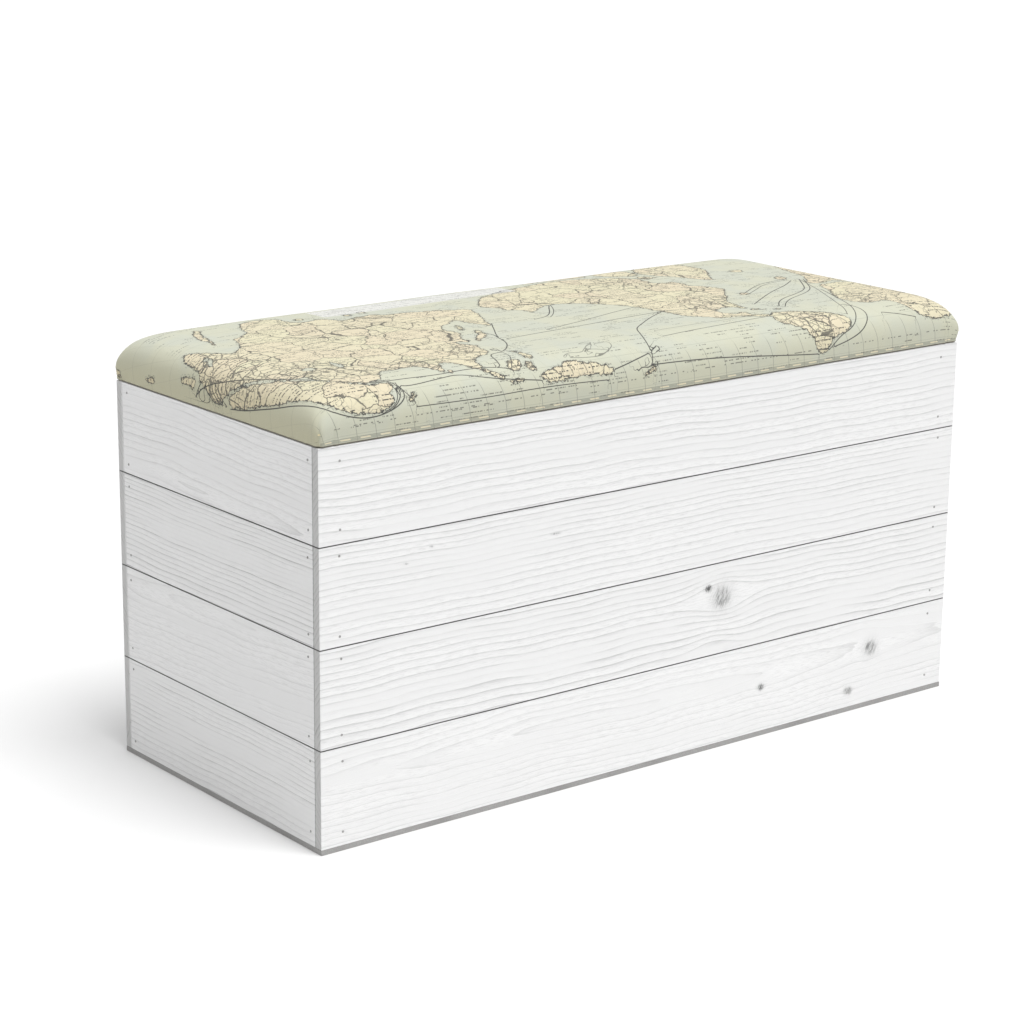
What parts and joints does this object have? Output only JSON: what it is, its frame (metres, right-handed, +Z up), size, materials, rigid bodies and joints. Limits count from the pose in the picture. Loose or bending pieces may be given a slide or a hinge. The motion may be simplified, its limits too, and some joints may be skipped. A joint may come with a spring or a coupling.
{
  "type": "wooden toy box",
  "caption": "Planked wooden toy box with a padded, cloth-covered lid on butt hinges that a slotted stay holds open.",
  "frame": {"origin": "centre of the underside, on the surface that the box stands on", "axes": "+X to the right along the front, +Y towards the hinged back, +Z up"},
  "size_m": [0.852, 0.3754, 0.4556],
  "materials": {
    "whitewashed_pine": "matte",
    "inside_pine": "matte",
    "hardboard": "matte",
    "plywood": "matte",
    "steel_nail": "satin",
    "zinc_screw": "satin",
    "hinge_brass": "satin",
    "foam": "matte",
    "map_cloth": "matte",
    "lining_cloth": "matte",
    "staple_wire": "satin",
    "stay_steel": "satin",
    "nylon": "matte"
  },
  "bodies": {
    "box": {"base_panel": "hardboard", "base_pins": "steel_nail", "front_plank_1": "whitewashed_pine", "front_plank_2": "whitewashed_pine", "front_plank_3": "whitewashed_pine", "front_plank_4": "whitewashed_pine", "back_plank_1": "whitewashed_pine", "back_plank_2": "whitewashed_pine", "back_plank_3": "whitewashed_pine", "back_plank_4": "whitewashed_pine", "left_plank_1": "whitewashed_pine", "left_plank_2": "whitewashed_pine", "left_plank_3": "whitewashed_pine", "left_plank_4": "whitewashed_pine", "right_plank_1": "whitewashed_pine", "right_plank_2": "whitewashed_pine", "right_plank_3": "whitewashed_pine", "right_plank_4": "whitewashed_pine", "front_nails": "steel_nail", "back_nails": "steel_nail", "left_nails": "steel_nail", "right_nails": "steel_nail", "front_left_post": "inside_pine", "front_right_post": "inside_pine", "back_left_post": "inside_pine", "back_right_post": "inside_pine", "hinge_rail": "inside_pine", "hinge_rail_screws": "zinc_screw", "left_hinge_box_leaf": "hinge_brass", "right_hinge_box_leaf": "hinge_brass", "left_hinge_pin": "hinge_brass", "right_hinge_pin": "hinge_brass", "hinge_box_screws": "zinc_screw", "stay_stud": "stay_steel", "stay_spacer": "nylon"},
    "lid": {"left_hinge_lid_leaf": "hinge_brass", "right_hinge_lid_leaf": "hinge_brass", "hinge_lid_screws": "zinc_screw", "lid_board": "plywood", "lid_foam": "foam", "lid_cover": "map_cloth", "lid_lining": "lining_cloth", "cover_staples": "staple_wire", "lining_staples": "staple_wire", "stay_bracket": "stay_steel", "stay_bracket_screws": "zinc_screw", "stay_rivet": "stay_steel"},
    "stay_arm": {"stay_arm": "stay_steel"}
  },
  "joints": [
    {"name": "lid_hinge", "type": "hinge", "parent": "box", "child": "lid", "pos_m": [0, 0.1859, 0.4], "axis": [-1, 0, 0], "range_deg": [0, 95]},
    {"name": "stay_pivot", "type": "hinge", "parent": "lid", "child": "stay_arm", "pos_m": [0.4074, 0.05645, 0.388], "axis": [-1, 0, 0], "range_deg": [-47.5, 0]}
  ],
  "couplings": [
    {"joint": "stay_pivot", "follows": "lid_hinge", "ratio": -0.5}
  ]
}
